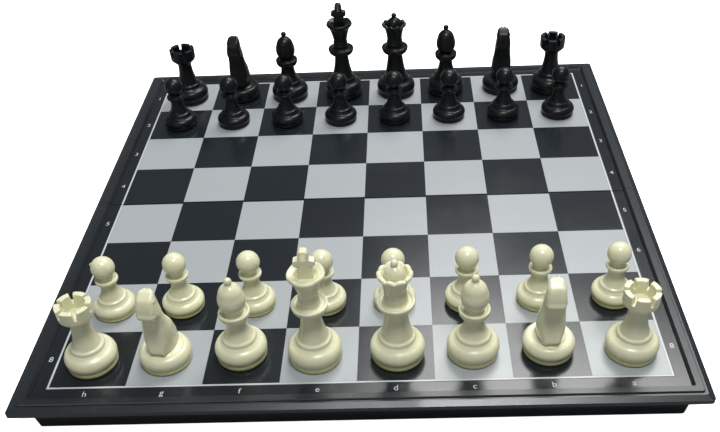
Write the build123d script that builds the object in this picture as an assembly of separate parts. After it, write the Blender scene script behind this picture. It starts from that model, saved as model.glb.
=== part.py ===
from build123d import *
import os

# A folding magnetic chess board with its 32 pieces in the starting position, in millimetres.
# Origin: middle of the board, on the surface it rests on. +Z up, +X from the h file to the a file,
# +Y from the eighth rank to the first. The front half (y < 0) carries ranks 5 to 8 and the white pieces.

os.makedirs("parts", exist_ok=True)

# ---- driving dimensions -------------------------------------------------------------------------------
square = 36.0            # side of one square
fold_margin = 0.9        # plain strip between the fold and the first row of squares
fold_gap = 0.15          # each half stands this far from the fold plane
play_z = 18.4            # playing surface
crest_z = 20.0           # top of the raised ridge round the board
rim_top_z = 19.2         # top of the rim outside the ridge
rim_shoulder_z = 18.0    # where the rim's outer face turns into its sloping top
rim_bottom_z = 15.9      # underside of the overhanging rim

line_width = 1.5         # border line round the squares
print_margin = 0.05      # squares and line are printed this much inside their nominal edges
ink_depth = 0.1          # thickness of the silver and white foil, set flush in the sheet
sheet_thickness = 0.4
steel_thickness = 0.5
deck_thickness = 1.8

# Distances outwards from the edge of the squares to each feature of the rim.
sheet_edge = 7.2
pocket_edge = 7.4
ridge_inner = 8.5
ridge_outer = 12.0
rim_edge = 16.0
wall_top = 9.6
wall_foot = 7.8
cavity_edge = 5.4
lip_front = 6.75         # inner face of the front half's closing lip
lip_rear = 6.45          # outer face of the rear half's closing lip

hinge_z = 2.5            # height of the fold axis
lip_height = 2 * hinge_z + 0.2
fold_wall = 2.4          # thickness of the wall along the fold
knuckle_radius = 2.35
knuckle_length = 8.0
knuckle_space = 0.3
pin_radius = 1.0
pin_fixed_fit = 0.02     # radial clearance in the front half's knuckles
pin_running_fit = 0.05   # radial clearance in the rear half's knuckle
hinge_stations = {"left": -105.0, "right": 105.0}

felt = 0.5               # felt disc under each piece
magnet_height = 3.0

half_x = 4 * square
half_y = 4 * square + fold_margin
deck_top = play_z - sheet_thickness - steel_thickness
deck_bottom = deck_top - deck_thickness


# ---- board --------------------------------------------------------------------------------------------
def outline(offset, height, corner):
    """A rounded rectangle reaching offset beyond the squares on every side."""
    return Pos(0, 0, height) * RectangleRounded(2 * (half_x + offset), 2 * (half_y + offset), corner)


def slab(offset, low, high, corner=1.5):
    return extrude(outline(offset, low, corner), high - low)


def frustum(offset_low, low, offset_high, high, corner_low=1.5, corner_high=1.5):
    """A block whose sides lean from one offset to another."""
    return loft([outline(offset_low, low, corner_low), outline(offset_high, high, corner_high)], ruled=True)


def keep_half(shape, side, gap=fold_gap):
    """The part of a shape on one side of the fold, gap away from the fold plane."""
    reach = 2 * half_y
    window = Box(4 * half_x, reach, 400)
    return shape & Pos(0, side * (gap + reach / 2), 0) * window


def cylinder_x(radius, x_low, x_high):
    """A cylinder on the fold axis."""
    middle = (x_low + x_high) / 2
    return Pos(middle, 0, hinge_z) * Rot(0, 90, 0) * Cylinder(radius, x_high - x_low)


def knuckles(station, side):
    """X ranges of the hinge knuckles of one half: two outer ones in front, the middle one at the rear."""
    pitch = knuckle_length + knuckle_space
    places = (-pitch, pitch) if side < 0 else (0.0,)
    return [(station + p - knuckle_length / 2, station + p + knuckle_length / 2) for p in places]


def case(side):
    rim = slab(rim_edge, rim_bottom_z, rim_shoulder_z, corner=2.0)
    rim += frustum(rim_edge, rim_shoulder_z, ridge_outer + 1.2, rim_top_z, 2.0, 1.0)
    ridge = slab(ridge_outer, rim_bottom_z, crest_z - 0.4)
    ridge += frustum(ridge_outer, crest_z - 0.4, ridge_outer - 0.4, crest_z, 1.5, 1.1)
    walls = frustum(wall_foot, 0, wall_top, rim_bottom_z, 2.0, 2.0)
    shape = rim + ridge + walls

    shape -= slab(pocket_edge, deck_top, play_z, corner=1.0)
    shape -= frustum(pocket_edge, play_z, ridge_inner, crest_z, 1.0, 1.0)
    shape -= slab(rim_edge - 2.0, rim_bottom_z, rim_bottom_z + 1.6) - slab(wall_top + 0.6, 0, crest_z)
    cavity = slab(cavity_edge, -1, deck_bottom, corner=1.5)
    shape -= keep_half(cavity, side, gap=fold_gap + fold_wall)

    # Closing lips: the front half keeps the outer layer of the foot of the wall, the rear half the inner one.
    if side < 0:
        shape -= slab(lip_front, -1, lip_height) - slab(cavity_edge, -1, lip_height)
    else:
        shape -= slab(wall_foot + 5, -1, lip_height) - slab(lip_rear, -1, lip_height)

    shape = keep_half(shape, side)
    under_fold = Box(2 * (half_x + cavity_edge), 4 * (fold_wall + fold_gap), 2 * (hinge_z + fold_gap))
    shape -= under_fold

    for station in hinge_stations.values():
        for low, high in knuckles(station, -side):
            notch = knuckle_radius + knuckle_space
            shape -= cylinder_x(notch, low - knuckle_space, high + knuckle_space)
        for low, high in knuckles(station, side):
            shape += cylinder_x(knuckle_radius, low, high)
            bore = pin_radius + (pin_fixed_fit if side < 0 else pin_running_fit)
            shape -= cylinder_x(bore, low - 0.1, high + 0.1)
    return shape


def silver_squares(side, inset=print_margin):
    """The sixteen light squares of one half, as thin flush plates."""
    plates = []
    for column in range(8):
        for row in range(4):
            if (column + row) % 2 == 0:
                continue
            x = (column - 3.5) * square
            y = side * (half_y - (row + 0.5) * square)
            if side > 0:
                x = -x
            plate = Box(square - 2 * inset, square - 2 * inset, ink_depth)
            plates.append(Pos(x, y, play_z - ink_depth / 2) * plate)
    return plates


def border_line(side):
    outer = slab(line_width, play_z - ink_depth, play_z, corner=0.3)
    inner = slab(print_margin, play_z - ink_depth, play_z, corner=0.2)
    return keep_half(outer - inner, side, gap=0.25)


def play_sheet(side):
    sheet = keep_half(slab(sheet_edge, play_z - sheet_thickness, play_z, corner=0.8), side, gap=0.25)
    for plate in silver_squares(side):
        sheet -= plate
    return sheet - border_line(side)


def steel_sheet(side):
    return keep_half(slab(sheet_edge, deck_top, deck_top + steel_thickness, corner=0.8), side, gap=0.25)


def hinge_pin(station):
    reach = 1.5 * knuckle_length + knuckle_space - 0.3
    return cylinder_x(pin_radius, station - reach, station + reach)


# ---- turned pieces ------------------------------------------------------------------------------------
def turned(start, steps):
    """Solid of revolution. Each step is one point for a line, or two for an arc through the first."""
    edges = []
    here = start
    for step in steps:
        if len(step) == 1:
            edges.append(Line(here, step[0]))
        else:
            edges.append(ThreePointArc(here, step[0], step[1]))
        here = step[-1]
    edges.append(Line(here, start))
    return revolve(Plane.XZ * make_face(edges), Axis.Z)


def knob(radius, middle, low):
    """Two steps of an outline: a line to a ball centred on the axis, then its arc up to the axis."""
    joint = (radius**2 - (middle - low) ** 2) ** 0.5
    return [[(joint, low)], [(radius, middle), (0, middle + radius)]]


def foot(radius, height, ring):
    """Outline of the foot that every piece shares: thin disc, round cushion, small ring."""
    h = height / 13.0
    return [
        [(radius - 0.6, felt)],
        [(radius - 0.4, 1.4 * h), (radius - 0.55, 2.5 * h)],
        [(radius - 0.8, 2.9 * h)],
        [(radius, 5.4 * h), (radius - 0.8, 8.0 * h)],
        [(radius - 1.4, 8.8 * h), (radius - 2.6, 9.5 * h)],
        [(ring + 0.9, 10.5 * h)],
        [(ring + 0.4, 11.2 * h)],
        [(ring + 0.35, 12.2 * h), (ring - 0.3, 12.8 * h)],
        [(ring - 0.7, 13.0 * h)],
    ]


def hollow_out(body, radius, height):
    """Opens a moulded cavity from below, a rounded cup with walls about 2.5 mm thick."""
    inner = radius - 3.4
    steps = [
        [(inner, felt - 0.1)],
        [(inner, 0.45 * height)],
        [(inner - 0.9, 0.72 * height), (inner - 3.8, 0.82 * height)],
        [(0, 0.86 * height)],
    ]
    return body - turned((0, felt - 0.1), steps)


def with_base(body, radius, height):
    """The three solids of one piece: hollow body, magnet disc and felt disc."""
    inner = radius - 3.4
    magnet = Pos(0, 0, felt + magnet_height / 2) * Cylinder(inner - 0.05, magnet_height)
    disc = Pos(0, 0, felt / 2) * Cylinder(radius - 1.4, felt)
    return [hollow_out(body, radius, height), magnet, disc]


def pawn():
    radius, height, ring = 10.7, 10.2, 6.7
    steps = foot(radius, height, ring) + [
        [(4.5, 13.6), (3.8, 18.8)],
        [(4.8, 19.4)],
        [(5.75, 20.7), (5.5, 21.9)],
        [(5.0, 21.9)],
        [(3.6, 22.0), (3.3, 22.9)],
    ] + knob(5.8, 28.2, 23.6)
    return with_base(turned((0, felt), steps), radius, height)


def rook():
    radius, height, ring = 12.4, 13.2, 7.6
    wall_radius, crown_top, merlons, notch_width, notch_depth = 8.3, 38.0, 6, 1.8, 4.6
    steps = foot(radius, height, ring) + [
        [(5.0, 20.0), (4.5, 27.2)],
        [(5.4, 28.2), (7.6, 30.4)],
        [(8.1, 31.2), (8.2, 32.2)],
        [(wall_radius, crown_top)],
        [(wall_radius - 2.2, crown_top)],
        [(wall_radius - 2.6, 32.6)],
        [(0, 32.0)],
    ]
    body = turned((0, felt), steps)
    for k in range(merlons):
        notch = Pos(wall_radius, 0, crown_top) * Box(8, notch_width, 2 * notch_depth)
        body -= Rot(0, 0, 21 + 30 + k * 360 / merlons) * notch
    return with_base(body, radius, height)


def bishop():
    radius, height, ring = 12.4, 13.6, 7.7
    steps = foot(radius, height, ring) + [
        [(5.1, 18.0), (4.4, 23.4)],
        [(5.2, 24.0)],
        [(7.0, 25.8), (7.25, 27.6)],
        [(7.1, 28.6), (6.5, 28.8)],
        [(4.8, 28.0), (4.0, 29.2)],
        [(5.85, 34.0), (4.9, 39.2)],
        [(3.4, 42.4), (1.5, 44.0)],
        [(1.2, 44.6)],
    ] + knob(1.8, 46.3, 45.0)
    return with_base(turned((0, felt), steps), radius, height)


def crowned(radius, height, ring, stem, collar, waist, rim, rim_z):
    """Shared body of king and queen up to the open crown: stem, wide dish collar, waist and flared cup."""
    return foot(radius, height, ring) + [
        [(stem + 1.2, 20.0), (stem, 29.4)],
        [(stem + 0.8, 30.2)],
        [(collar - 0.5, 31.7), (collar, 33.4)],
        [(collar - 0.1, 34.6), (collar - 0.8, 34.8)],
        [(waist + 1.5, 34.0), (waist + 0.3, 35.8)],
        [(waist + 0.3, 37.4)],
        [(waist - 0.2, 37.9)],
        [(waist + 0.1, 38.9), (waist - 0.3, 39.8)],
        [(waist, 44.4), (waist + 1.3, rim_z - 3.2)],
        [(rim - 0.6, rim_z - 2.1)],
        [(rim, rim_z - 1.1), (rim - 0.6, rim_z)],
    ]


def queen():
    radius, height, ring, rim, rim_z, points = 13.0, 13.8, 8.2, 8.2, 51.2, 10
    steps = crowned(radius, height, ring, 4.9, 8.6, 5.3, rim, rim_z) + [
        [(rim - 1.9, rim_z)],
        [(rim - 2.8, rim_z - 2.2)],
        [(4.7, rim_z - 3.0)],
        [(3.7, rim_z + 1.9), (1.2, rim_z + 3.6)],
    ] + knob(1.75, rim_z + 4.9, rim_z + 3.8)
    body = turned((0, felt), steps)
    for k in range(points):
        scallop = Pos(rim + 0.4, 0, rim_z + 0.7) * Rot(0, 90, 0) * Cylinder(1.5, 6)
        body -= Rot(0, 0, (k + 0.5) * 360 / points) * scallop
    return with_base(body, radius, height)


def king():
    radius, height, ring, rim, rim_z = 12.9, 14.2, 8.0, 8.6, 52.4
    steps = crowned(radius, height, ring, 4.5, 8.1, 4.6, rim, rim_z) + [
        [(5.3, rim_z - 0.9)],
        [(4.4, rim_z - 2.0)],
        [(0, rim_z - 2.2)],
    ]
    body = turned((0, felt), steps)
    cross = Polyline(
        (-3.9, rim_z - 3), (-2.6, 56.6), (-4.6, 57.4), (-5.0, 60.2), (-2.2, 60.6), (-2.1, 64.2), (-1.2, 65.2),
        (1.2, 65.2), (2.1, 64.2), (2.2, 60.6), (5.0, 60.2), (4.6, 57.4), (2.6, 56.6), (3.9, rim_z - 3),
        close=True,
    )
    body += Pos(0, 1.9, 0) * extrude(Plane.XZ * make_face(cross), 3.8)
    return with_base(body, radius, height)


def knight():
    radius, height, ring, cavity_height = 12.4, 12.4, 8.4, 10.0
    base = foot(radius, height, ring)[:5] + [[(8.2, 8.8), (7.0, 9.4)], [(0, 10.4)]]
    body = turned((0, felt), base)
    outline = [
        Line((6.6, 9.2), (8.2, 11.4)),
        ThreePointArc((8.2, 11.4), (5.7, 21.0), (4.7, 32.4)),
        Line((4.7, 32.4), (8.4, 33.0)),
        ThreePointArc((8.4, 33.0), (9.3, 34.0), (9.2, 36.2)),
        Line((9.2, 36.2), (8.4, 37.4)),
        Line((8.4, 37.4), (2.4, 44.4)),
        ThreePointArc((2.4, 44.4), (0.6, 45.2), (-0.9, 44.2)),
        ThreePointArc((-0.9, 44.2), (-2.4, 37.6), (-3.6, 27.4)),
        ThreePointArc((-3.6, 27.4), (-6.4, 21.6), (-7.4, 15.0)),
        Line((-7.4, 15.0), (-7.4, 9.2)),
        Line((-7.4, 9.2), (6.6, 9.2)),
    ]
    side_view = Pos(0, 10, 0) * extrude(Plane.XZ * make_face(outline), 20)
    plan = Polyline((-9, -4.6), (-3, -6), (2, -5.4), (9, -2.9), (9, 2.9), (2, 5.4), (-3, 6), (-9, 4.6), close=True)
    front_view = Polyline((-6.2, 9), (-4.3, 27), (-4.1, 35), (-2.4, 46), (2.4, 46), (4.1, 35), (4.3, 27), (6.2, 9),
                          close=True)
    slab_view = Pos(-15, 0, 0) * extrude(Plane.YZ * make_face(front_view), 30)
    head = side_view & slab_view & extrude(Plane.XY * make_face(plan), 50)
    return with_base(body + head, radius, cavity_height)


# ---- starting position --------------------------------------------------------------------------------
makers = {"king": king, "queen": queen, "bishop": bishop, "knight": knight, "rook": rook, "pawn": pawn}
files = "hgfedcba"
back_rank = ["rook", "knight", "bishop", "king", "queen", "bishop", "knight", "rook"]
pairs = {"rook", "knight", "bishop"}

# How far each back-rank piece was set down from the middle of its square (x, y), h file first.
placing = {
    "white": [(-1, -2), (-1.5, -1), (-1.5, 1), (-2, -1.5), (1, -1), (0.5, -1), (0, 0), (2.5, -2)],
    "black": [(0.5, -1), (1, 1), (-1, -2), (0.5, 0), (1, -0.5), (-0.5, 0), (1.5, 0.5), (-1, -1)],
}
pawn_placing = {
    "white": [(1, -1.5), (0, 0), (0.5, 0), (0.5, -0.5), (-0.5, -1), (-0.5, -1), (-0.5, -1), (1, -0.5)],
    "black": [(0, 0)] * 8,
}
# Turn of each back-rank piece about its own axis, in degrees. A knight at -90 looks towards the h-a front edge.
turning = {
    "white": [0, -118, 0, 0, 0, 0, -84, 0],
    "black": [0, -94, 0, 0, 0, 0, -90, 0],
}
sides = {"white": -1, "black": 1}


def place(solids, colour, column, rank_row, nudge, turn):
    """Moves the solids of a piece to its square. rank_row counts from the outer edge of its half."""
    x = (column - 3.5) * square + nudge[0]
    y = sides[colour] * (half_y - (rank_row + 0.5) * square) + nudge[1]
    return [Pos(x, y, play_z) * Rot(0, 0, turn) * solid for solid in solids]


def save(name, shapes):
    export_step(Compound(children=shapes) if len(shapes) > 1 else shapes[0], f"parts/{name}.step")


for half, side in (("front", -1), ("rear", 1)):
    save(f"{half}_case", [case(side)])
    save(f"{half}_backing", [steel_sheet(side)])
    save(f"{half}_sheet", [play_sheet(side)])
    save(f"{half}_squares", silver_squares(side))
    save(f"{half}_border", [border_line(side)])

for name, station in hinge_stations.items():
    save(f"{name}_hinge_pin", [hinge_pin(station)])

for colour in sides:
    for column, kind in enumerate(back_rank):
        suffix = f"_{files[column]}" if kind in pairs else ""
        solids = place(makers[kind](), colour, column, 0, placing[colour][column], turning[colour][column])
        save(f"{colour}_{kind}{suffix}", solids)
        solids = place(pawn(), colour, column, 1, pawn_placing[colour][column], 0)
        save(f"{colour}_pawn_{files[column]}", solids)
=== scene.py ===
from math import atan2, cos, pi, radians, sin

import bmesh
import bpy
import numpy as np
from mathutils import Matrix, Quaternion, Vector


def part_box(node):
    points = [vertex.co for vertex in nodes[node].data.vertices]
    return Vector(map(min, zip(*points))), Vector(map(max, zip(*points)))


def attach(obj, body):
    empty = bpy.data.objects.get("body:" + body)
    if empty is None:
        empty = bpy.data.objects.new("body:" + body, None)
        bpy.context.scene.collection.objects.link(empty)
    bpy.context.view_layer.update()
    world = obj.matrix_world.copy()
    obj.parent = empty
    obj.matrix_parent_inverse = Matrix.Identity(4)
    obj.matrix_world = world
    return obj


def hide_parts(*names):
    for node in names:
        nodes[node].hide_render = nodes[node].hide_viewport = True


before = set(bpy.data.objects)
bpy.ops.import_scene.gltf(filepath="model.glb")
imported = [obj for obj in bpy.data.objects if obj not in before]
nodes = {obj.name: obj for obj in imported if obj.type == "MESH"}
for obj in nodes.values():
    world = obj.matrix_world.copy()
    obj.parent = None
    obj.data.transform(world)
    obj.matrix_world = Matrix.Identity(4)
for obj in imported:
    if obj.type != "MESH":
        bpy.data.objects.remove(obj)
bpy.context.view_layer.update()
print("frame loaded:", len(nodes), "nodes")

mm = 0.001
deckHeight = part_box("front_sheet")[1].z  # the playing surface

# Camera, lights and floor

studio = {
    "cameraPlace": (0.0262, -0.4096, 0.3100),
    "cameraAim": (0.0130, -0.0737, 0.0184),
    "cameraRoll": -2.91,  # degrees
    "lens": 42.44,
    "shift": (-0.0362, 0.0877),
    "floorSize": 6.0,
    "floorColour": (0.92, 0.92, 0.92, 1),
    "floorGlow": 1.0,
    "floorBounce": (0.30, 0.30, 0.30, 1),
    "worldColour": (0.80, 0.84, 0.90, 1),
    "worldStrength": 0.195,
}
softboxes = {  # place, aim, size in metres, power in watts, colour
    "rearSoftbox": ((0.30, 0.62, 1.15), (0.02, 0.0, 0.02), (0.8, 0.6), 15.5, (1.0, 0.995, 0.98)),
    "overheadLamp": ((0.11, -0.36, 1.20), (0.0, -0.02, 0.02), (0.30, 0.22), 9.5, (0.99, 0.995, 1.0)),
    "frontFill": ((-0.55, -1.25, 0.85), (0.0, 0.0, 0.02), (0.8, 0.5), 1.8, (0.99, 1.0, 1.0)),
}


def lookAt(thing, place, aim, roll=0.0):
    thing.location = place
    direction = Vector(aim) - Vector(place)
    turn = direction.to_track_quat("-Z", "Y") @ Quaternion((0, 0, 1), radians(roll))
    thing.rotation_euler = turn.to_euler()


def addToScene(thing):
    bpy.context.scene.collection.objects.link(thing)
    return thing


def makeCamera():
    data = bpy.data.cameras.new("camera")
    data.lens = studio["lens"]
    data.sensor_width = 36.0
    data.shift_x, data.shift_y = studio["shift"]
    data.clip_start = 0.01
    camera = addToScene(bpy.data.objects.new("camera", data))
    lookAt(camera, studio["cameraPlace"], studio["cameraAim"], studio["cameraRoll"])
    bpy.context.scene.camera = camera


def makeLights():
    for name, (place, aim, size, power, colour) in softboxes.items():
        data = bpy.data.lights.new(name, "AREA")
        data.shape = "RECTANGLE"
        data.size, data.size_y = size
        data.energy = power
        data.color = colour
        lookAt(addToScene(bpy.data.objects.new(name, data)), place, aim)
    world = bpy.data.worlds.new("studioAir")
    world.use_nodes = True
    background = world.node_tree.nodes["Background"]
    background.inputs["Color"].default_value = studio["worldColour"]
    background.inputs["Strength"].default_value = studio["worldStrength"]
    bpy.context.scene.world = world


def makeFloor():
    half = studio["floorSize"] / 2
    mesh = bpy.data.meshes.new("floor")
    corners = [(-half, -half, 0), (half, -half, 0), (half, half, 0), (-half, half, 0)]
    mesh.from_pydata(corners, [], [(0, 1, 2, 3)])
    floor = addToScene(bpy.data.objects.new("floor", mesh))
    material, shader = newMaterial("floorPaper", studio["floorColour"], 0.9)
    shader.inputs["Emission Color"].default_value = (1, 1, 1, 1)
    tree = material.node_tree
    # The floor glows and is pale for the camera only, so it throws little light up onto the board.
    seen = tree.nodes.new("ShaderNodeLightPath").outputs["Is Camera Ray"]
    glow = mapRange(tree, seen, 0, 1, 0.0, studio["floorGlow"])
    link(tree, glow, shader.inputs["Emission Strength"])
    tint = mixColour(tree, seen, studio["floorBounce"], studio["floorColour"])
    link(tree, tint, shader.inputs["Base Color"])
    mesh.materials.append(material)


# Shared shader groups

# An empty shader group with float or vector inputs and float, colour or vector outputs.
def newGroup(name, inputs, outputs):
    group = bpy.data.node_groups.new(name, "ShaderNodeTree")
    for label, kind, value in inputs:
        socket = group.interface.new_socket(label, in_out="INPUT", socket_type=kind)
        if value is not None:
            socket.default_value = value
    for label, kind in outputs:
        group.interface.new_socket(label, in_out="OUTPUT", socket_type=kind)
    start = group.nodes.new("NodeGroupInput")
    end = group.nodes.new("NodeGroupOutput")
    return group, start, end


def link(tree, source, target):
    tree.links.new(source, target)


def noise(tree, vector, scale, detail=2.0, roughness=0.5):
    node = tree.nodes.new("ShaderNodeTexNoise")
    node.inputs["Detail"].default_value = detail
    node.inputs["Roughness"].default_value = roughness
    if isinstance(scale, (int, float)):
        node.inputs["Scale"].default_value = scale
    else:
        link(tree, scale, node.inputs["Scale"])
    link(tree, vector, node.inputs["Vector"])
    return node.outputs["Fac"]


def mapRange(tree, value, low, high, toLow=0.0, toHigh=1.0):
    node = tree.nodes.new("ShaderNodeMapRange")
    node.interpolation_type = "SMOOTHSTEP"
    for label, number in (("From Min", low), ("From Max", high), ("To Min", toLow), ("To Max", toHigh)):
        if isinstance(number, (int, float)):
            node.inputs[label].default_value = number
        else:
            link(tree, number, node.inputs[label])
    link(tree, value, node.inputs["Value"])
    return node.outputs["Result"]


def arithmetic(tree, operation, first, second=None):
    node = tree.nodes.new("ShaderNodeMath")
    node.operation = operation
    for index, value in enumerate((first, second)):
        if value is None:
            continue
        if isinstance(value, (int, float)):
            node.inputs[index].default_value = value
        else:
            link(tree, value, node.inputs[index])
    return node.outputs["Value"]


def mixColour(tree, factor, first, second):
    node = tree.nodes.new("ShaderNodeMix")
    node.data_type = "RGBA"
    # Sockets by number: in colour mode 0 is the factor, 6 and 7 the two colours, and output 2 the result.
    for socket, value in ((node.inputs[0], factor), (node.inputs[6], first), (node.inputs[7], second)):
        if isinstance(value, (int, float, tuple)):
            socket.default_value = value
        else:
            link(tree, value, socket)
    return node.outputs[2]


# Fine moulded grain plus slow sink marks: two noises added as a height, and one of them as a tone.
def makeMouldedGroup():
    floats = "NodeSocketFloat"
    group, start, end = newGroup(
        "mouldedSurface",
        [("Vector", "NodeSocketVector", None), ("Grain Scale", floats, 2500.0), ("Grain", floats, 0.5),
         ("Sink Scale", floats, 60.0), ("Sink", floats, 0.5)],
        [("Height", floats), ("Tone", floats)],
    )
    vector = start.outputs["Vector"]
    grain = noise(group, vector, start.outputs["Grain Scale"], 3.0)
    sink = noise(group, vector, start.outputs["Sink Scale"], 1.0)
    height = arithmetic(group, "MULTIPLY", grain, start.outputs["Grain"])
    slow = arithmetic(group, "MULTIPLY", sink, start.outputs["Sink"])
    link(group, arithmetic(group, "ADD", height, slow), end.inputs["Height"])
    link(group, sink, end.inputs["Tone"])
    return group


# Signs of handling: a mask of thin hairline scratches and one of soft smudges.
def makeHandlingGroup():
    floats = "NodeSocketFloat"
    group, start, end = newGroup(
        "handlingMarks",
        [("Vector", "NodeSocketVector", None), ("Smudge Scale", floats, 35.0),
         ("Scratch Scale", floats, 260.0)],
        [("Smudges", floats), ("Scratches", floats)],
    )
    vector = start.outputs["Vector"]
    smudge = mapRange(group, noise(group, vector, start.outputs["Smudge Scale"], 4.0, 0.6), 0.48, 0.72)
    link(group, smudge, end.inputs["Smudges"])
    stretched = []
    for turn, squeeze in ((0.5, (1.0, 0.05, 1.0)), (-0.9, (1.0, 0.04, 1.0))):
        mapping = group.nodes.new("ShaderNodeMapping")
        mapping.inputs["Rotation"].default_value = (0, 0, turn)
        mapping.inputs["Scale"].default_value = squeeze
        link(group, vector, mapping.inputs["Vector"])
        fine = noise(group, mapping.outputs["Vector"], start.outputs["Scratch Scale"], 0.0)
        ridge = arithmetic(group, "ABSOLUTE", arithmetic(group, "SUBTRACT", fine, 0.5))
        stretched.append(mapRange(group, ridge, 0.0, 0.006, 1.0, 0.0))
    both = arithmetic(group, "MAXIMUM", *stretched)
    patches = mapRange(group, noise(group, vector, 22.0, 1.0), 0.52, 0.62)
    link(group, arithmetic(group, "MULTIPLY", both, patches), end.inputs["Scratches"])
    return group


# Rubbed edges: where the surface is more convex than its surroundings, broken up by a noise.
def makeWearGroup():
    floats = "NodeSocketFloat"
    group, start, end = newGroup(
        "rubbedEdges",
        [("Vector", "NodeSocketVector", None), ("Low", floats, 0.52), ("High", floats, 0.6)],
        [("Wear", floats)],
    )
    geometry = group.nodes.new("ShaderNodeNewGeometry")
    edge = mapRange(group, geometry.outputs["Pointiness"], start.outputs["Low"], start.outputs["High"])
    broken = mapRange(group, noise(group, start.outputs["Vector"], 420.0, 3.0), 0.35, 0.65)
    link(group, arithmetic(group, "MULTIPLY", edge, broken), end.inputs["Wear"])
    return group


# A keyword such as Grain_Scale sets the group's input "Grain Scale".
def placeGroup(tree, group, vector, **values):
    node = tree.nodes.new("ShaderNodeGroup")
    node.node_tree = group
    link(tree, vector, node.inputs["Vector"])
    for label, value in values.items():
        node.inputs[label.replace("_", " ")].default_value = value
    return node


def newMaterial(name, colour, roughness, metallic=0.0):
    material = bpy.data.materials.new(name)
    material.use_nodes = True
    shader = material.node_tree.nodes["Principled BSDF"]
    shader.inputs["Base Color"].default_value = colour
    shader.inputs["Roughness"].default_value = roughness
    shader.inputs["Metallic"].default_value = metallic
    return material, shader


def objectVector(tree):
    return tree.nodes.new("ShaderNodeTexCoord").outputs["Object"]


def addBump(tree, shader, height, distance, strength=1.0):
    bump = tree.nodes.new("ShaderNodeBump")
    bump.inputs["Distance"].default_value = distance
    bump.inputs["Strength"].default_value = strength
    link(tree, height, bump.inputs["Height"])
    link(tree, bump.outputs["Normal"], shader.inputs["Normal"])


moulded = makeMouldedGroup()
handling = makeHandlingGroup()
rubbed = makeWearGroup()

# Materials


# The moulded skin and the signs of handling of a finish, both set by its values.
def skinAndMarks(tree, vector, look):
    skin = placeGroup(tree, moulded, vector, Grain_Scale=look["grainScale"], Grain=look["grain"],
                      Sink_Scale=look["sinkScale"], Sink=look["sink"])
    marks = placeGroup(tree, handling, vector, Smudge_Scale=look["smudgeScale"],
                       Scratch_Scale=look["scratchScale"])
    return skin, marks


# Roughness that rises by the finish's smudge value where a smudge lies.
def smudgedRoughness(tree, marks, look):
    clean = look["roughness"]
    return mapRange(tree, marks.outputs["Smudges"], 0.0, 1.0, clean, clean + look["smudge"])


# Black satin plastic of the two case halves: scratches show as a paler tone.
def casePlastic(look):
    material, shader = newMaterial("casePlastic", look["colour"], look["roughness"])
    tree = material.node_tree
    skin, marks = skinAndMarks(tree, objectVector(tree), look)
    tone = mixColour(tree, skin.outputs["Tone"], look["colour"], look["paleColour"])
    scratched = arithmetic(tree, "MULTIPLY", marks.outputs["Scratches"], look["scratch"])
    link(tree, mixColour(tree, scratched, tone, look["rubColour"]), shader.inputs["Base Color"])
    link(tree, smudgedRoughness(tree, marks, look), shader.inputs["Roughness"])
    addBump(tree, shader, skin.outputs["Height"], look["bump"])
    return material


# Printed film of the playing sheets: flat colour layers under a smooth, faintly rippled skin.
def printedFilm(name, look):
    material, shader = newMaterial(name, look["colour"], look["roughness"])
    tree = material.node_tree
    skin, marks = skinAndMarks(tree, objectVector(tree), look)
    tone = mixColour(tree, skin.outputs["Tone"], look["colour"], look["paleColour"])
    link(tree, tone, shader.inputs["Base Color"])
    smudged = arithmetic(tree, "MULTIPLY", marks.outputs["Smudges"], look["smudge"])
    scratched = arithmetic(tree, "MULTIPLY", marks.outputs["Scratches"], look["scratch"])
    rough = arithmetic(tree, "ADD", arithmetic(tree, "ADD", smudged, scratched), look["roughness"])
    link(tree, rough, shader.inputs["Roughness"])
    shader.inputs["Specular IOR Level"].default_value = look["specular"]
    addBump(tree, shader, skin.outputs["Height"], look["bump"])
    return material


# Glossy moulded plastic of the chess pieces, with a soft body colour, rubbed edges and, by height above the
# square, painted shade: the colour darkens to olive towards the underside of the foot, where shade falls.
def piecePlastic(name, look):
    material, shader = newMaterial(name, look["colour"], look["roughness"])
    tree = material.node_tree
    vector = objectVector(tree)
    skin, marks = skinAndMarks(tree, vector, look)
    worn = placeGroup(tree, rubbed, vector).outputs["Wear"]
    tone = mixColour(tree, skin.outputs["Tone"], look["colour"], look["paleColour"])
    rubbedTone = mixColour(tree, arithmetic(tree, "MULTIPLY", worn, look["wear"]), tone, look["rubColour"])
    place = tree.nodes.new("ShaderNodeSeparateXYZ")
    link(tree, vector, place.inputs["Vector"])
    # Painted shade: below the higher height the colour is mixed towards the olive shade colour, most at the
    # foot's bottom.
    low, high = look["underHeights"]
    under = mapRange(tree, place.outputs["Z"], deckHeight + low, deckHeight + high, look["under"], 0.0)
    link(tree, mixColour(tree, under, rubbedTone, look["underColour"]), shader.inputs["Base Color"])
    link(tree, smudgedRoughness(tree, marks, look), shader.inputs["Roughness"])
    shader.inputs["Subsurface Weight"].default_value = look["depth"]
    shader.inputs["Subsurface Radius"].default_value = look["depthRadius"]
    shader.inputs["Subsurface Scale"].default_value = look["depthScale"]
    shader.inputs["Specular IOR Level"].default_value = look["specular"]
    addBump(tree, shader, skin.outputs["Height"], look["bump"])
    return material


# White ink of the border line. Its outer edge is film again: how far a point lies past the line's outer
# edge, the larger of the x and y distances, decides between ink and film.
def borderInk(look, film):
    material = printedFilm("borderInk", look)
    tree = material.node_tree
    shader = tree.nodes["Principled BSDF"]
    ink = shader.inputs["Base Color"].links[0].from_socket
    place = tree.nodes.new("ShaderNodeSeparateXYZ")
    link(tree, objectVector(tree), place.inputs["Vector"])
    sides = [arithmetic(tree, "SUBTRACT", arithmetic(tree, "ABSOLUTE", place.outputs[axis]), reach)
             for axis, reach in zip("XY", look["reach"])]
    outside = mapRange(tree, arithmetic(tree, "MAXIMUM", *sides), -look["bleed"],
                       look["softEdge"] - look["bleed"])
    link(tree, mixColour(tree, outside, ink, film["colour"]), shader.inputs["Base Color"])
    return material


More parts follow.
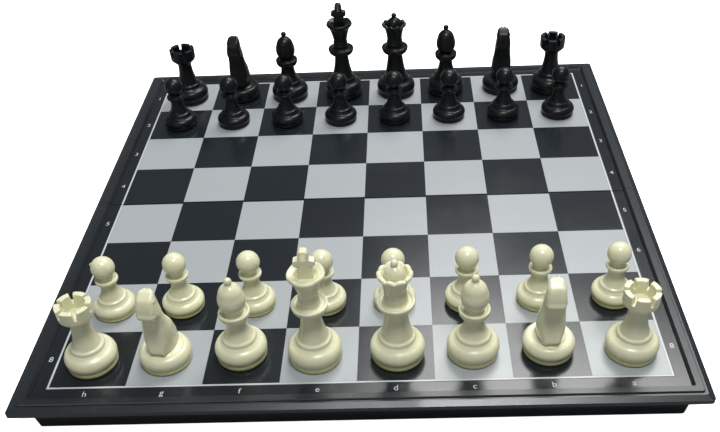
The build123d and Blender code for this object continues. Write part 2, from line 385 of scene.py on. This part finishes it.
# Black felt under each piece: a matted, fibrous noise.
def feltCloth():
    material, shader = newMaterial("feltCloth", (0.012, 0.012, 0.012, 1), 0.95)
    tree = material.node_tree
    fibres = noise(tree, objectVector(tree), 1800.0, 6.0, 0.7)
    tone = mixColour(tree, fibres, (0.006, 0.006, 0.006, 1), (0.03, 0.03, 0.032, 1))
    link(tree, tone, shader.inputs["Base Color"])
    addBump(tree, shader, fibres, 0.0004)
    return material


# Drawn steel of the hinge pins and backing sheets.
def plainSteel():
    material, shader = newMaterial("plainSteel", (0.55, 0.55, 0.56, 1), 0.35, 1.0)
    tree = material.node_tree
    mapping = tree.nodes.new("ShaderNodeMapping")
    mapping.inputs["Scale"].default_value = (0.05, 1.0, 1.0)
    link(tree, objectVector(tree), mapping.inputs["Vector"])
    lines = noise(tree, mapping.outputs["Vector"], 3000.0, 3.0)
    link(tree, mapRange(tree, lines, 0.3, 0.7, 0.25, 0.45), shader.inputs["Roughness"])
    addBump(tree, shader, lines, 0.00002)
    return material


finishes = {
    "case": {
        "colour": (0.0115, 0.0145, 0.017, 1), "paleColour": (0.015, 0.0185, 0.0215, 1),
        "rubColour": (0.10, 0.105, 0.11, 1), "roughness": 0.30, "bump": 0.00003,
        "grainScale": 2200.0, "grain": 0.6, "sinkScale": 18.0, "sink": 0.8,
        "smudgeScale": 24.0, "smudge": 0.09, "scratchScale": 320.0, "scratch": 0.25,
    },
    "black": {
        "colour": (0.0085, 0.0115, 0.0145, 1), "paleColour": (0.0105, 0.014, 0.0175, 1),
        "roughness": 0.20, "specular": 0.5, "bump": 0.00004,
        "grainScale": 1500.0, "grain": 0.2, "sinkScale": 14.0, "sink": 1.0,
        "smudgeScale": 20.0, "smudge": 0.04, "scratchScale": 240.0, "scratch": 0.02,
    },
    "silver": {
        "colour": (0.31, 0.333, 0.343, 1), "paleColour": (0.335, 0.36, 0.37, 1),
        "roughness": 0.30, "specular": 0.5, "bump": 0.00006,
        "grainScale": 1500.0, "grain": 0.35, "sinkScale": 14.0, "sink": 1.0,
        "smudgeScale": 20.0, "smudge": 0.05, "scratchScale": 240.0, "scratch": 0.06,
    },
    "white": {
        "colour": (0.45, 0.47, 0.475, 1), "paleColour": (0.50, 0.52, 0.525, 1),
        "roughness": 0.35, "specular": 0.5, "bump": 0.00004,
        "grainScale": 1500.0, "grain": 0.35, "sinkScale": 14.0, "sink": 1.0,
        "smudgeScale": 20.0, "smudge": 0.05, "scratchScale": 240.0, "scratch": 0.06,
        "reach": (0.1455, 0.1464), "bleed": 0.00055, "softEdge": 0.00012,  # metres, for the border line
    },
    "ivory": {
        "colour": (0.655, 0.645, 0.435, 1), "paleColour": (0.70, 0.69, 0.49, 1),
        "rubColour": (0.82, 0.81, 0.66, 1), "wear": 0.5,
        "roughness": 0.25, "specular": 0.5, "bump": 0.000015,
        "grainScale": 2600.0, "grain": 0.25, "sinkScale": 150.0, "sink": 0.9,
        "smudgeScale": 90.0, "smudge": 0.06, "scratchScale": 700.0,
        "depth": 0.2, "depthRadius": (1.0, 0.95, 0.5), "depthScale": 0.0015,
        # Painted shade at the underside of the foot: its strength, the heights in metres over which it fades
        # out, and its olive colour.
        "under": 0.75, "underHeights": (0.0012, 0.0066), "underColour": (0.50, 0.49, 0.19, 1),
    },
    "ebony": {
        "colour": (0.0035, 0.0042, 0.0052, 1), "paleColour": (0.0055, 0.0065, 0.0078, 1),
        "rubColour": (0.014, 0.016, 0.018, 1), "wear": 0.4,
        "roughness": 0.33, "specular": 0.28, "bump": 0.000005,
        "grainScale": 2600.0, "grain": 0.25, "sinkScale": 150.0, "sink": 0.9,
        "smudgeScale": 90.0, "smudge": 0.06, "scratchScale": 700.0,
        "depth": 0.0, "depthRadius": (1.0, 1.0, 1.0), "depthScale": 0.001,
        "under": 0.0, "underHeights": (0.0012, 0.0066), "underColour": (0.003, 0.0035, 0.004, 1),
    },
}

makeCamera()
makeLights()
makeFloor()
print("camera, lights and floor placed")

caseMaterial = casePlastic(finishes["case"])
filmBlack = printedFilm("filmBlack", finishes["black"])
filmSilver = printedFilm("filmSilver", finishes["silver"])
inkWhite = printedFilm("inkWhite", finishes["white"])
borderWhite = borderInk(finishes["white"], finishes["black"])
pieceMaterials = {"white": piecePlastic("ivoryPlastic", finishes["ivory"]),
                  "black": piecePlastic("ebonyPlastic", finishes["ebony"])}
felt = feltCloth()
steel = plainSteel()

nodeMaterials = {"case": caseMaterial, "sheet": filmBlack, "squares": filmSilver, "border": borderWhite,
                 "backing": steel, "pin": steel}
for name, node in nodes.items():
    for ending, material in nodeMaterials.items():
        if name.endswith(ending):
            node.material_slots[0].material = material
print("materials made")

# Surfaces


# Points[row, column] is joined into quads row by row, and the last column joins the first.
def meshFromGrid(name, points):
    rows, columns = points.shape[:2]
    index = np.arange(rows * columns).reshape(rows, columns)
    nextColumn = np.roll(index, -1, axis=1)
    quads = np.stack([index[:-1], nextColumn[:-1], nextColumn[1:], index[1:]], axis=-1).reshape(-1, 4)
    mesh = bpy.data.meshes.new(name)
    mesh.from_pydata(points.reshape(-1, 3).tolist(), [], quads.tolist())
    return mesh


# Caps the first and last ring of a lathe grid with a single many-sided face each.
def closePoles(mesh, columns, rows):
    work = bmesh.new()
    work.from_mesh(mesh)
    work.verts.ensure_lookup_table()
    first = [work.verts[i] for i in range(columns)]
    last = [work.verts[(rows - 1) * columns + i] for i in range(columns)]
    work.faces.new(first[::-1])
    work.faces.new(last)
    bmesh.ops.recalc_face_normals(work, faces=work.faces)
    work.to_mesh(mesh)
    work.free()


def smoothShade(mesh):
    mesh.polygons.foreach_set("use_smooth", np.ones(len(mesh.polygons), bool))
    mesh.update()


# Points of the circle through three given points, evenly spaced by angle, without the first one.
def arcPoints(start, middle, end, count):
    (ax, ay), (bx, by), (cx, cy) = start, middle, end
    d = 2 * (ax * (by - cy) + bx * (cy - ay) + cx * (ay - by))
    ux = ((ax**2 + ay**2) * (by - cy) + (bx**2 + by**2) * (cy - ay) + (cx**2 + cy**2) * (ay - by)) / d
    uy = ((ax**2 + ay**2) * (cx - bx) + (bx**2 + by**2) * (ax - cx) + (cx**2 + cy**2) * (bx - ax)) / d
    first, mid, last = (atan2(y - uy, x - ux) for x, y in (start, middle, end))
    span = (last - first) % (2 * pi)
    if (mid - first) % (2 * pi) > span:
        span -= 2 * pi
    angles = first + span * np.linspace(0, 1, count + 1)[1:]
    radius = ((ax - ux) ** 2 + (ay - uy) ** 2) ** 0.5
    return np.stack([ux + radius * np.cos(angles), uy + radius * np.sin(angles)], axis=1)


# Lines and three-point arcs, resampled at a fine spacing, blurred so that corners get a small radius, then
# thinned to count points that crowd together where the line bends.
def outlineCurve(start, steps, count, rounding):
    spacing = 0.05
    pieces = [np.array([start], float)]
    here = start
    for step in steps:
        if len(step) == 1:
            origin, end = np.array(here), np.array(step[0])
            pieces.append(origin + np.linspace(0, 1, 9)[1:, None] * (end - origin))
        else:
            pieces.append(arcPoints(here, step[0], step[1], 24))
        here = step[-1]
    line = np.concatenate(pieces)
    length = np.concatenate([[0], np.cumsum(np.hypot(*np.diff(line, axis=0).T))])
    fine = np.arange(0, length[-1], spacing)
    curve = np.stack([np.interp(fine, length, line[:, k]) for k in (0, 1)], axis=1)
    reach = int(3 * rounding / spacing)
    weights = np.exp(-0.5 * (np.arange(-reach, reach + 1) * spacing / rounding) ** 2)
    weights /= weights.sum()
    before = 2 * curve[0] - curve[reach:0:-1]
    after = 2 * curve[-1] - curve[-2:-reach - 2:-1]
    padded = np.concatenate([before, curve, after])
    curve = np.stack([np.convolve(padded[:, k], weights, "valid") for k in (0, 1)], axis=1)
    heading = np.unwrap(np.arctan2(np.gradient(curve[:, 1]), np.gradient(curve[:, 0])))
    crowding = np.cumsum(spacing + 0.9 * np.abs(np.gradient(heading)))
    wanted = np.linspace(crowding[0], crowding[-1], count)
    return np.stack([np.interp(wanted, crowding, curve[:, k]) for k in (0, 1)], axis=1)


# Point (row, column) is the outline's radius turned to an angle, and the outline's height.
def lathePoints(outline, angles):
    radius, height = outline[:, 0:1], outline[:, 1:2]
    x = radius * np.cos(angles)[None, :]
    y = radius * np.sin(angles)[None, :]
    return np.stack([x, y, np.broadcast_to(height, x.shape)], axis=-1)


# Chess pieces

feltHeight = 0.5
lathe = {"columns": 80, "rows": 120, "rounding": 0.16}


# Outline of the foot that every piece shares: thin disc, round cushion, small ring. Each step of an
# outline is a line to one point, or an arc through one point to another, as (radius, height) in mm.
def foot(radius, height, ring):
    h = height / 13.0
    return [
        [(radius - 0.6, feltHeight)],
        [(radius - 0.4, 1.4 * h), (radius - 0.55, 2.5 * h)],
        [(radius - 0.8, 2.9 * h)],
        [(radius, 5.4 * h), (radius - 0.8, 8.0 * h)],
        [(radius - 1.4, 8.8 * h), (radius - 2.6, 9.5 * h)],
        [(ring + 0.9, 10.5 * h)],
        [(ring + 0.4, 11.2 * h)],
        [(ring + 0.35, 12.2 * h), (ring - 0.3, 12.8 * h)],
        [(ring - 0.7, 13.0 * h)],
    ]


# A ball on top: an arc from where the circle meets the height low up to its top.
def knob(radius, middle, low):
    joint = (radius**2 - (middle - low) ** 2) ** 0.5
    return [[(joint, low)], [(radius, middle), (0.02, middle + radius)]]


# Outline shared by king and queen up to the rim: stem, wide dish collar, waist and flared cup.
def crowned(s):
    stem, collar, waist, cup, rim, rimHeight = (
        s[key] for key in ("stem", "collar", "waist", "cup", "rim", "rimHeight"))
    return foot(s["radius"], s["height"], s["ring"]) + [
        [(stem + 1.2, 20.0), (stem, 29.4)],
        [(stem + 0.8, 30.2)],
        [(collar - 0.5, 31.7), (collar, 33.4)],
        [(collar - 0.1, 34.6), (collar - 0.8, 34.8)],
        [(waist + 1.5, 34.0), (waist + 0.3, 35.8)],
        [(waist + 0.3, 37.4)],
        [(waist - 0.2, 37.9)],
        [(waist + 0.1, 38.9), (waist - 0.3, 39.8)],
        [(waist + cup, 45.0), (rim - 1.6, rimHeight - 3.0)],
        [(rim - 0.6, rimHeight - 2.1)],
        [(rim, rimHeight - 1.1), (rim - 0.6, rimHeight)],
    ]


def evenAngles(count=None):
    return np.linspace(0, 2 * pi, count or lathe["columns"], endpoint=False)


def turnedPiece(radius, steps, angles=None, rows=None):
    outline = outlineCurve((0.02, feltHeight), steps, rows or lathe["rows"], lathe["rounding"])
    return lathePoints(outline, evenAngles() if angles is None else angles)


pawnShape = {"radius": 10.7, "height": 10.2, "ring": 6.7}


# A turned outline: foot, hollow stem, flat collar and ball head.
def pawnPoints():
    s = pawnShape
    steps = foot(s["radius"], s["height"], s["ring"]) + [
        [(4.5, 13.6), (3.8, 18.8)],
        [(4.8, 19.4)],
        [(5.75, 20.7), (5.5, 21.9)],
        [(5.0, 21.9)],
        [(3.6, 22.0), (3.3, 22.9)],
    ] + knob(5.8, 28.2, 23.6)
    return turnedPiece(s["radius"], steps, rows=96)


bishopShape = {"radius": 12.4, "height": 13.6, "ring": 7.7}


# A turned outline: foot, hollow stem, dished collar, egg-shaped head and small knob.
def bishopPoints():
    s = bishopShape
    steps = foot(s["radius"], s["height"], s["ring"]) + [
        [(5.1, 18.0), (4.4, 23.4)],
        [(5.2, 24.0)],
        [(7.0, 25.8), (7.25, 27.6)],
        [(7.1, 28.6), (6.5, 28.8)],
        [(4.8, 28.0), (4.0, 29.2)],
        [(6.4, 34.6), (5.7, 39.0)],
        [(4.3, 42.4), (1.9, 44.3)],
        [(1.5, 44.8)],
    ] + knob(1.8, 46.3, 45.0)
    return turnedPiece(s["radius"], steps)


rookShape = {"radius": 12.4, "height": 13.2, "ring": 7.6, "wall": 8.3, "top": 38.0, "merlons": 6, "turn": 21,
             "notchWidth": 1.8, "notchDepth": 4.4}


# A lathe surface whose rim is pressed down between the merlons: above the notch floor, height is multiplied
# by a share that falls from one to nearly nothing inside each notch.
def rookPoints():
    s = rookShape
    steps = foot(s["radius"], s["height"], s["ring"]) + [
        [(5.0, 20.0), (4.5, 27.2)],
        [(5.4, 28.2), (7.6, 30.4)],
        [(8.1, 31.2), (8.2, 32.2)],
        [(s["wall"], s["top"])],
        [(s["wall"] - 2.6, s["top"])],
        [(s["wall"] - 3.1, 30.9)],
        [(0.02, 30.3)],
    ]
    pitch = 2 * pi / s["merlons"]
    half = 0.5 * s["notchWidth"] / s["wall"]
    edge = 0.035  # radians over which a merlon's side goes up
    nextNotch = pitch - half
    pattern = np.concatenate([
        np.linspace(-half + edge, half - edge, 4),
        [half - edge / 2, half, half + edge / 2],
        np.linspace(half + edge, nextNotch - edge, 8),
        [nextNotch - edge / 2, nextNotch, nextNotch + edge / 2],
    ])
    start = radians(s["turn"] + 30)
    angles = np.concatenate([start + k * pitch + pattern for k in range(s["merlons"])])
    points = turnedPiece(s["radius"], steps, angles)
    fromNotch = np.abs((angles - start + pitch / 2) % pitch - pitch / 2)
    t = np.clip((fromNotch - half + edge) / (2 * edge), 0, 1)
    share = 0.03 + 0.97 * t * t * (3 - 2 * t)
    notchFloor = s["top"] - s["notchDepth"]
    above = np.maximum(points[..., 2] - notchFloor, 0)
    points[..., 2] -= above * (1 - share)[None, :]
    return points


queenShape = {"radius": 13.0, "height": 13.8, "ring": 8.2, "stem": 4.9, "collar": 8.7, "waist": 5.2,
              "cup": 0.5, "rim": 8.2, "rimHeight": 51.2, "points": 10}


# A lathe surface whose rim dips in a row of scallops: the dip is a rounded cosine of the angle and fades
# out below the rim.
def queenPoints():
    s = queenShape
    rim, top = s["rim"], s["rimHeight"]
    steps = crowned(s) + [
        [(rim - 1.9, top)],
        [(rim - 2.8, top - 2.2)],
        [(4.7, top - 3.0)],
        [(3.7, top + 1.9), (1.2, top + 3.6)],
    ] + knob(1.75, top + 4.9, top + 3.8)
    angles = evenAngles(120)
    points = turnedPiece(s["radius"], steps, angles, rows=140)
    wave = np.abs(np.cos(angles * s["points"] / 2)) ** 0.7
    radius = np.hypot(points[..., 0], points[..., 1])
    nearRim = np.clip((points[..., 2] - (top - 2.4)) / 2.4, 0, 1) * (radius > rim - 2.4)
    points[..., 2] -= 1.2 * nearRim * (1 - wave)[None, :]
    points[..., :2] *= (1 - 0.05 * nearRim * (1 - wave)[None, :])[..., None]
    return points


kingShape = {"radius": 12.9, "height": 14.2, "ring": 8.0, "stem": 4.5, "collar": 8.4, "waist": 4.7,
             "cup": 0.8, "rim": 8.6, "rimHeight": 52.4, "lobes": 4, "lobeHeight": 0.7}


# A lathe surface with a broad brim; the brim rises a little in four lobes, a clipped cosine of the angle.
def kingPoints():
    s = kingShape
    rim, top = s["rim"], s["rimHeight"]
    steps = crowned(s) + [
        [(5.3, top - 0.9)],
        [(4.4, top - 2.0)],
        [(0.02, top - 2.2)],
    ]
    points = turnedPiece(s["radius"], steps, rows=130)
    lobe = np.clip(-np.cos(evenAngles() * s["lobes"]), 0, 1) ** 1.5
    onBrim = np.clip((points[..., 2] - (top - 1.6)) / 1.6, 0, 1)
    onBrim *= np.clip((np.hypot(points[..., 0], points[..., 1]) - 5.3) / 2.4, 0, 1)
    points[..., 2] += s["lobeHeight"] * onBrim * lobe[None, :]
    return points


crossShape = {"halfThickness": 1.9, "low": 49.4, "rounding": 0.35}


# The king's cross: its outline, pulled in towards the middle line as it goes over the edge, so that the
# edge is a quarter ellipse and both flat faces close on the middle line.
def crossPoints():
    low, half = crossShape["low"], crossShape["halfThickness"]
    right = [(3.9, low), (3.1, 56.8), (4.9, 57.6), (4.8, 59.9), (2.3, 60.6), (2.2, 64.0), (1.3, 65.2)]
    corners = [(0.0, low)] + right + [(-x, z) for x, z in right[::-1]] + [(0.0, low)]
    line = np.array(corners)
    length = np.concatenate([[0], np.cumsum(np.hypot(*np.diff(line, axis=0).T))])
    along = np.linspace(0, length[-1], 181)[:-1]
    outline = np.stack([np.interp(along, length, line[:, k]) for k in (0, 1)], axis=1)
    kernel = np.array([1, 2, 3, 2, 1]) / 9  # rounds the outline's corners a little
    outline = np.stack([np.convolve(np.r_[outline[-2:, k], outline[:, k], outline[:2, k]], kernel, "valid")
                        for k in (0, 1)], axis=1)
    e = crossShape["rounding"]
    quarter = np.linspace(0, pi / 2, 6)
    edgeInset = e * (1 - np.sin(quarter))
    edgeDepth = half - e * (1 - np.cos(quarter))
    inset = np.concatenate([[9.0, 3.0], edgeInset, edgeInset[::-1][1:], [3.0, 9.0]])
    depth = np.concatenate([[half, half], edgeDepth, -edgeDepth[::-1][1:], [-half, -half]])
    width = np.abs(outline[:, 0])
    x = np.sign(outline[None, :, 0]) * np.maximum(width[None, :] - inset[:, None], 0)
    z = low + (outline[None, :, 1] - low) * (1 - np.minimum(inset[:, None], e) / 17.0)
    return np.stack([x, np.broadcast_to(depth[:, None], x.shape), z], axis=-1)


knightShape = {"radius": 12.4, "height": 12.4, "ring": 8.4, "edge": 1.2, "grid": 0.42, "maneDepth": 0.35}


def knightBasePoints():
    s = knightShape
    steps = foot(s["radius"], s["height"], s["ring"])[:5] + [[(8.2, 8.8), (7.0, 9.4)], [(0.02, 10.4)]]
    return turnedPiece(s["radius"], steps, rows=70)


# Side view of head and neck, nose towards +x.
def knightSideOutline():
    steps = [
        [(8.2, 11.4)],
        [(5.7, 21.0), (4.7, 32.4)],
        [(8.0, 33.0)],
        [(9.0, 33.6), (9.0, 35.6)],
        [(8.6, 36.6)],
        [(7.9, 40.0), (6.2, 43.0)],
        [(3.0, 44.9)],
        [(0.6, 45.2), (-0.9, 44.2)],
        [(-2.4, 37.6), (-3.6, 27.4)],
        [(-6.4, 21.6), (-7.4, 15.0)],
        [(-7.4, 9.2)],
        [(6.6, 9.2)],
    ]
    return outlineCurve((6.6, 9.2), steps, 160, 0.35)


# Signed distance from grid points to a closed outline, negative inside.
def outlineDistance(outline, x, z):
    start, end = outline, np.roll(outline, -1, axis=0)
    edge = end - start
    px = x[..., None] - start[:, 0]
    pz = z[..., None] - start[:, 1]
    t = np.clip((px * edge[:, 0] + pz * edge[:, 1]) / np.maximum((edge**2).sum(1), 1e-9), 0, 1)
    distance = np.hypot(px - t * edge[:, 0], pz - t * edge[:, 1]).min(-1)
    crosses = (start[:, 1] > z[..., None]) != (end[:, 1] > z[..., None])
    rise = np.where(np.abs(edge[:, 1]) < 1e-9, 1e-9, edge[:, 1])
    left = px < edge[:, 0] * pz / rise
    return np.where((crosses & left).sum(-1) % 2 == 1, -distance, distance)


# Distance-like field of the head: the side outline and a half width that depends on place, joined with a
# rounded edge; bumps for brow, ears and cheek, dents for eye, nostril and mouth, waves for the mane.
def knightField():
    s = knightShape
    step = s["grid"]
    x = np.arange(-9.4, 11.2, step)
    y = np.arange(-8.0, 8.0 + step, step)
    z = np.arange(8.0, 47.4, step)
    flatX, flatZ = np.meshgrid(x, z, indexing="ij")
    side = outlineDistance(knightSideOutline(), flatX, flatZ)
    heights = [9, 16, 22, 27, 31, 35, 39, 43, 46]
    front = np.interp(flatZ, heights, [3.2, 5.0, 5.2, 4.8, 4.5, 4.3, 3.9, 3.5, 3.0])
    middle = np.interp(flatZ, heights, [6.0, 6.6, 6.2, 5.3, 4.9, 4.7, 4.4, 3.9, 3.2])
    back = np.interp(flatZ, heights, [5.4, 4.8, 3.6, 2.4, 1.9, 1.8, 1.6, 1.5, 1.3])
    nose = np.interp(flatZ, heights, [7.6, 6.6, 5.6, 5.0, 6.4, 8.9, 8.1, 6.2, 3.4])
    nape = np.interp(flatZ, heights, [-7.4, -7.2, -6.3, -3.7, -3.0, -2.6, -2.2, -1.6, -0.6])
    t = np.clip((flatX - nape) / (nose - nape), 0, 1)
    width = back * (1 - t) * (1 - 2 * t) + middle * 4 * t * (1 - t) + front * t * (2 * t - 1)

    def blob(u, v, sizeU, sizeV):
        return np.exp(-(((flatX - u) / sizeU) ** 2 + ((flatZ - v) / sizeV) ** 2))

    width += 0.35 * blob(4.2, 41.6, 1.6, 0.7)  # brow
    width -= 0.35 * blob(4.6, 40.3, 0.9, 0.7)  # eye socket
    width += 0.3 * blob(4.6, 40.2, 0.4, 0.4)  # eye
    width += 0.4 * blob(1.4, 34.4, 2.2, 2.6)  # cheek
    width -= 0.4 * blob(7.9, 35.9, 0.5, 0.45)  # nostril
    mouth = np.exp(-((flatZ - 34.3 - 0.12 * (flatX - 8)) / 0.35) ** 2)
    width -= 0.45 * mouth * np.clip((flatX - 5.8) / 1.0, 0, 1)
    comb = np.clip((nape + 2.6 - flatX) / 1.6, 0, 1) * np.clip((flatZ - 24) / 3, 0, 1)
    width -= s["maneDepth"] * comb * (0.5 + 0.5 * np.cos(flatZ * 2.4 + flatX * 1.3))
    r = s["edge"]
    across = np.abs(y)[None, :, None] - width[:, None, :] + r
    along = np.broadcast_to(side[:, None, :] + r, across.shape)
    corner = np.hypot(np.maximum(across, 0), np.maximum(along, 0))
    field = np.minimum(np.maximum(across, along), 0) + corner - r
    gx, gy, gz = np.meshgrid(x, y, z, indexing="ij")
    earLine = np.clip((gz - 42.6) / 2.6, 0, 1)
    ear = np.hypot(gx - 0.2 + 0.5 * earLine, np.abs(gy) - 1.35) - 0.95 * (1 - 0.75 * earLine)
    ear = np.maximum(ear, np.maximum(gz - 45.5, 42.0 - gz))
    blend = np.clip(0.5 + 0.5 * (ear - field) / 0.5, 0, 1)
    field = ear * (1 - blend) + field * blend - 0.5 * blend * (1 - blend)
    return field, (x, y, z)


# Closed surface where a gridded field passes through zero: one point per crossed cell, the mean of the
# crossings on its twelve edges, and one quad round every crossed grid edge.
def surfaceNet(name, field, axes):
    inside = field < 0
    count = np.zeros(np.array(field.shape) - 1)
    total = np.zeros(count.shape + (3,))
    cells = np.stack(np.meshgrid(*(np.arange(n) for n in count.shape), indexing="ij"), axis=-1)
    window = [slice(0, -1), slice(1, None)]
    for axis in range(3):
        others = [k for k in range(3) if k != axis]
        for i in (0, 1):
            for j in (0, 1):
                near, far = [None] * 3, [None] * 3
                near[axis], far[axis] = window[0], window[1]
                for other, pick in zip(others, (i, j)):
                    near[other] = far[other] = window[pick]
                a, b = field[tuple(near)], field[tuple(far)]
                crossed = (a < 0) != (b < 0)
                share = np.where(crossed, a / np.where(crossed, a - b, 1), 0)
                point = cells.astype(float)
                point[..., axis] += share
                point[..., others[0]] += i
                point[..., others[1]] += j
                total += point * crossed[..., None]
                count += crossed
    used = count > 0
    index = np.full(count.shape, -1)
    index[used] = np.arange(used.sum())
    places = total[used] / count[used][:, None]
    points = np.stack([np.interp(places[:, k], np.arange(len(axes[k])), axes[k]) for k in range(3)], axis=1)
    quads = []
    for axis in range(3):
        u, v = (axis + 1) % 3, (axis + 2) % 3
        low = np.take(inside, range(0, inside.shape[axis] - 1), axis)
        high = np.take(inside, range(1, inside.shape[axis]), axis)
        for goingOut in (True, False):
            at = np.argwhere((low & ~high) if goingOut else (~low & high))
            corners = []
            for du, dv in ((0, 0), (-1, 0), (-1, -1), (0, -1)):
                cell = at.copy()
                cell[:, u] += du
                cell[:, v] += dv
                corners.append(index[tuple(cell.T)])
            ring = np.stack(corners, axis=1)
            quads.append(ring if goingOut else ring[:, ::-1])
    mesh = bpy.data.meshes.new(name)
    mesh.from_pydata(points.tolist(), [], np.concatenate(quads).tolist())
    return mesh


# Turns and moves a mesh about its own axis to its square, then gives it its body and material.
def addPiece(name, body, mesh, material, place, turn):
    count = len(mesh.vertices)
    flat = np.empty(count * 3)
    mesh.vertices.foreach_get("co", flat)
    x, y, z = (flat.reshape(-1, 3) * mm).T
    c, s = cos(radians(turn)), sin(radians(turn))
    turned = np.stack([c * x - s * y, s * x + c * y, z], axis=1)
    turned += np.array([place.x, place.y, deckHeight])
    mesh.vertices.foreach_set("co", turned.ravel())
    smoothShade(mesh)
    mesh.materials.append(material)
    piece = addToScene(bpy.data.objects.new(name, mesh))
    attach(piece, body)
    return piece


# A lathe grid made into a mesh and closed at its axis.
def closedLathe(name, points):
    mesh = meshFromGrid(name, points)
    closePoles(mesh, points.shape[1], points.shape[0])
    return mesh


# A thin disc, 1.4 mm smaller than the foot all round.
def feltPoints(radius):
    edge = radius - 1.4
    steps = [[(radius - 1.5, 0.0)], [(edge, 0.1)], [(edge, feltHeight - 0.05)], [(0.02, feltHeight)]]
    return lathePoints(outlineCurve((0.02, 0.0), steps, 24, 0.06), evenAngles(72))


shapes = {
    "pawn": (pawnPoints, pawnShape),
    "rook": (rookPoints, rookShape),
    "bishop": (bishopPoints, bishopShape),
    "queen": (queenPoints, queenShape),
    "king": (kingPoints, kingShape),
    "knight": (knightBasePoints, knightShape),
}
knightHead = knightField()
# Turn of each knight about its own axis, in degrees; at -90 its nose points to the front edge.
turns = {"white_knight_g": -98, "white_knight_b": -90, "black_knight_g": -94, "black_knight_b": -90}

for nodeName in sorted(nodes):
    colour, _, rest = nodeName.partition("_")
    kind = rest.split("_")[0]
    if colour not in pieceMaterials:
        continue
    low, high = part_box(nodeName)
    place = (low + high) / 2
    turn = turns.get(nodeName, 0)
    makePoints, shape = shapes[kind]
    body = addPiece(nodeName + ".body", nodeName, closedLathe(nodeName + ".body", makePoints()),
                    pieceMaterials[colour], place, turn)
    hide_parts(nodeName)
    addPiece(nodeName + ".felt", nodeName, closedLathe(nodeName + ".felt", feltPoints(shape["radius"])), felt,
             place, turn)
    if kind == "knight":
        mesh = surfaceNet(nodeName + ".head", *knightHead)
        addPiece(nodeName + ".head", nodeName, mesh, pieceMaterials[colour], place, turn)
    if kind == "king":
        mesh = meshFromGrid(nodeName + ".cross", crossPoints())
        addPiece(nodeName + ".cross", nodeName, mesh, pieceMaterials[colour], place, turn)
print("chess pieces made")

# Printed coordinates

# In millimetres: letter size and ink thickness, where the side and end rows lie, and the squares' pitch.
coordinates = {"size": 4.6, "thickness": 0.02, "sideOffset": 148.4, "endOffset": 149.6, "square": 36.0,
               "foldMargin": 0.9, "files": "hgfedcba"}


# A character of raised ink, centred at x and y in millimetres and lying on the film.
def addLabel(text, x, y, body):
    curve = bpy.data.curves.new("label_" + body, "FONT")
    curve.body = text
    curve.size = coordinates["size"] * mm
    curve.align_x = "CENTER"
    curve.align_y = "CENTER"
    curve.extrude = coordinates["thickness"] * mm
    curve.resolution_u = 4
    holder = addToScene(bpy.data.objects.new("labelCurve", curve))
    bpy.context.view_layer.update()
    mesh = bpy.data.meshes.new_from_object(holder.evaluated_get(bpy.context.evaluated_depsgraph_get()))
    bpy.data.objects.remove(holder)
    points = np.empty(len(mesh.vertices) * 3)
    mesh.vertices.foreach_get("co", points)
    points = points.reshape(-1, 3) + np.array([x * mm, y * mm, deckHeight])
    mesh.vertices.foreach_set("co", points.ravel())
    mesh.materials.clear()
    mesh.materials.append(inkWhite)
    label = addToScene(bpy.data.objects.new(f"label_{text}_{body}_{'left' if x < 0 else 'right'}", mesh))
    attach(label, body)


for column, letter in enumerate(coordinates["files"]):
    for side, body in ((-1, "front_half"), (1, "rear_half")):
        addLabel(letter, (column - 3.5) * coordinates["square"], side * coordinates["endOffset"], body)
for rank in range(8):
    row = 3.5 - rank  # rank 1 is at the rear
    y = row * coordinates["square"] + np.sign(row) * coordinates["foldMargin"]
    for side in (-1, 1):
        addLabel(str(rank + 1), side * coordinates["sideOffset"], y, "front_half" if y < 0 else "rear_half")
print("coordinates made")

bpy.context.scene.view_settings.view_transform = "Standard"
